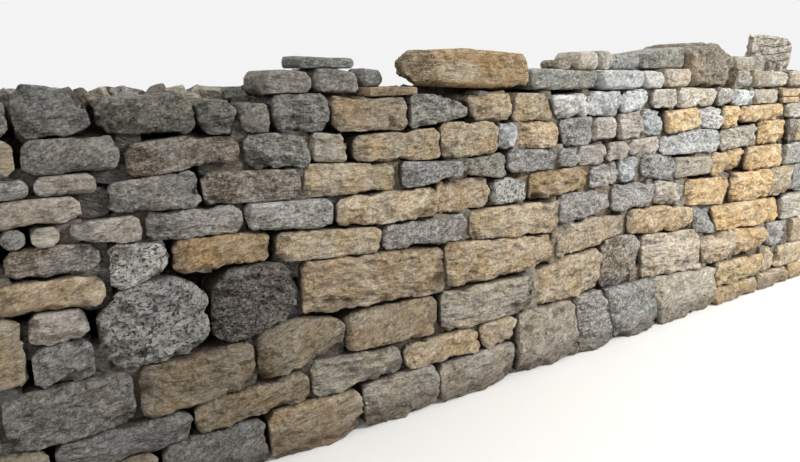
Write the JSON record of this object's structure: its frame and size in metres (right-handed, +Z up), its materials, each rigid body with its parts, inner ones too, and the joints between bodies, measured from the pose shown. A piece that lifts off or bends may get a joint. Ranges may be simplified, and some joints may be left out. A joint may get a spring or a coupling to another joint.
{
  "type": "dry stone wall",
  "caption": "Straight battered stretch of dry-laid field-stone wall with built ends, a rubble core and loose boulders along the top.",
  "frame": {"origin": "middle of the wall's foot, on the ground", "axes": "+X along the wall to the right as seen from the front, +Y from the front face to the back face, +Z up; the battered front face looks towards -Y"},
  "size_m": [5, 0.62, 1.614],
  "materials": {
    "buff_stone": "rough split face",
    "grey_stone": "rough, weathered",
    "footing_stone": "rough, in contact with the ground",
    "mixed_back_stone": "rough, weathered",
    "head_stone": "rough, squared",
    "tie_stone": "rough, long",
    "hearting_stone": "packed rubble",
    "cover_stone": "rough, flat",
    "loose_top_stone": "rough, irregular",
    "buff_boulder_stone": "weathered, one fresh split face",
    "grey_boulder_stone": "weathered, rounded",
    "layered_boulder_stone": "weathered, layered"
  },
  "bodies": {
    "root": {"front_course_1": "footing_stone", "front_course_2": "buff_stone", "front_course_3": "buff_stone", "front_course_4": "buff_stone", "front_course_5": "buff_stone", "front_course_6": "buff_stone", "front_course_7": "buff_stone", "front_course_8": "grey_stone", "front_course_9": "grey_stone", "back_course_1": "mixed_back_stone", "back_course_2": "mixed_back_stone", "back_course_3": "mixed_back_stone", "back_course_4": "mixed_back_stone", "back_course_5": "mixed_back_stone", "back_course_6": "mixed_back_stone", "back_course_7": "mixed_back_stone", "back_course_8": "mixed_back_stone", "back_course_9": "mixed_back_stone", "left_wall_head": "head_stone", "right_wall_head": "head_stone", "tie_stones": "tie_stone", "hearting_lower": "hearting_stone", "hearting_middle": "hearting_stone", "hearting_upper": "hearting_stone", "cover_stones": "cover_stone", "top_pinnings": "loose_top_stone", "buff_cope_boulder": "buff_boulder_stone", "grey_cope_boulder": "grey_boulder_stone", "layered_cope_boulder": "layered_boulder_stone"}
  },
  "joints": []
}
